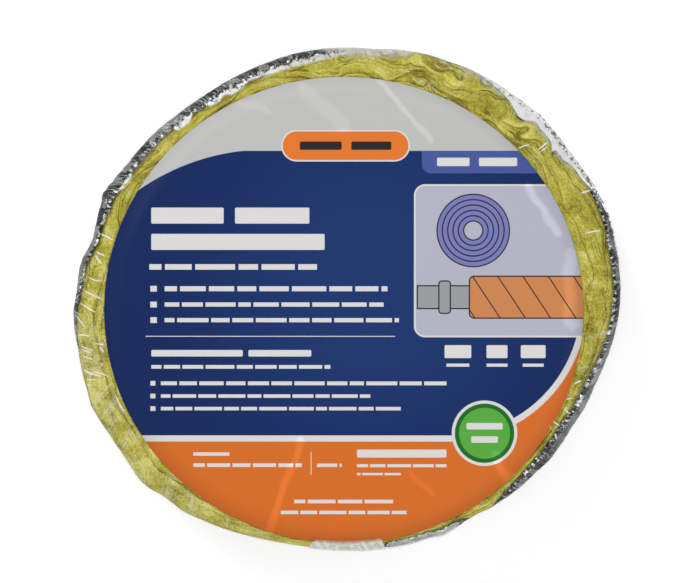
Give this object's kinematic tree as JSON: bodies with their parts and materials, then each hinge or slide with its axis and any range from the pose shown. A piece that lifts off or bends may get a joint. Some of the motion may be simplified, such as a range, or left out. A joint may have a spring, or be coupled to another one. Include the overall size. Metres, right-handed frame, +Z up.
{
  "type": "insulation roll",
  "caption": "Shrink-wrapped roll of foil-backed glass-wool pipe wrap with a round printed card on its end, lying on its other end.",
  "frame": {"origin": "middle of the underside, on the floor the roll lies on", "axes": "+Z up along the roll's axis, out of the end with the card; +Y towards the top of the card's print; +X to its right, roughly along the long axis of the oval"},
  "size_m": [0.2894, 0.265, 0.0784],
  "materials": {
    "wool": "yellow glass wool, fibrous and matt, pressed in wavy layers",
    "foil": "crinkled aluminium foil backing, bright with dark folds",
    "card": "printed card: navy field over an orange field, pale grey top, semi-gloss",
    "film": "clear shrink film, glossy, with fine gathers round the shoulder"
  },
  "bodies": {
    "root": {"fiberglass_roll": "wool", "foil_facing": "foil", "label_card": "card", "shrink_film": "film"}
  },
  "joints": []
}
